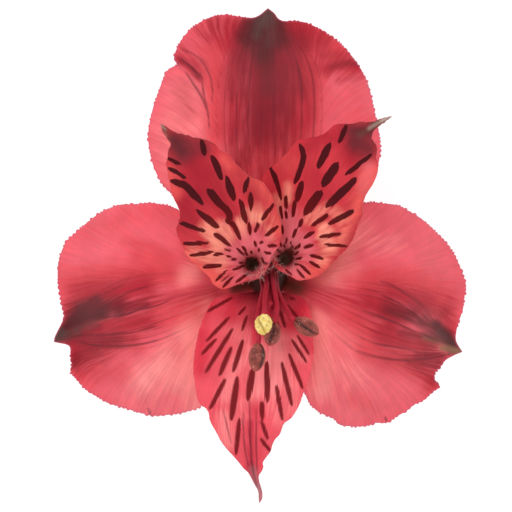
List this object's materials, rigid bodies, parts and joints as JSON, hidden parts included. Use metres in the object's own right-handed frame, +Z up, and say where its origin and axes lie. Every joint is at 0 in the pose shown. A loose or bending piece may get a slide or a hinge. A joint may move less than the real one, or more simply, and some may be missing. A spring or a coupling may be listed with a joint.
{
  "type": "alstroemeria bloom",
  "caption": "Open alstroemeria bloom lying face up: broad outer tepals, narrower streaked inner ones with nectary tubes, stamens, style, ribbed ovary and a short bent stalk.",
  "frame": {"origin": "on the surface that the bloom lies on, under the middle of its outline", "axes": "+Z up from the surface, out of the open face; +Y from the lower inner tepal towards the top outer tepal; +X to the right when the open face is looked at with that tepal up"},
  "size_m": [0.0608, 0.073, 0.0323],
  "materials": {
    "outer_tepal": "soft coral red petal with a darker purple-brown midrib",
    "inner_tepal": "red petal with a yellow-pink glow and dark maroon streaks",
    "filament": "smooth dark red stamen thread",
    "ripe_anther": "powdery pale yellow pollen",
    "closed_anther": "matte red-brown pollen sac",
    "green_tissue": "smooth fresh green with a red-brown tint"
  },
  "bodies": {
    "root": {"outer_tepal_top": "outer_tepal", "outer_tepal_left": "outer_tepal", "outer_tepal_right": "outer_tepal", "inner_tepal_upper_left": "inner_tepal", "inner_tepal_upper_right": "inner_tepal", "inner_tepal_lower": "inner_tepal", "filament_1": "filament", "anther_1": "ripe_anther", "filament_2": "filament", "anther_2": "closed_anther", "filament_3": "filament", "anther_3": "closed_anther", "filament_4": "filament", "anther_4": "closed_anther", "filament_5": "filament", "anther_5": "closed_anther", "filament_6": "filament", "anther_6": "closed_anther", "style": "filament", "ovary": "green_tissue", "stalk": "green_tissue"}
  },
  "joints": []
}
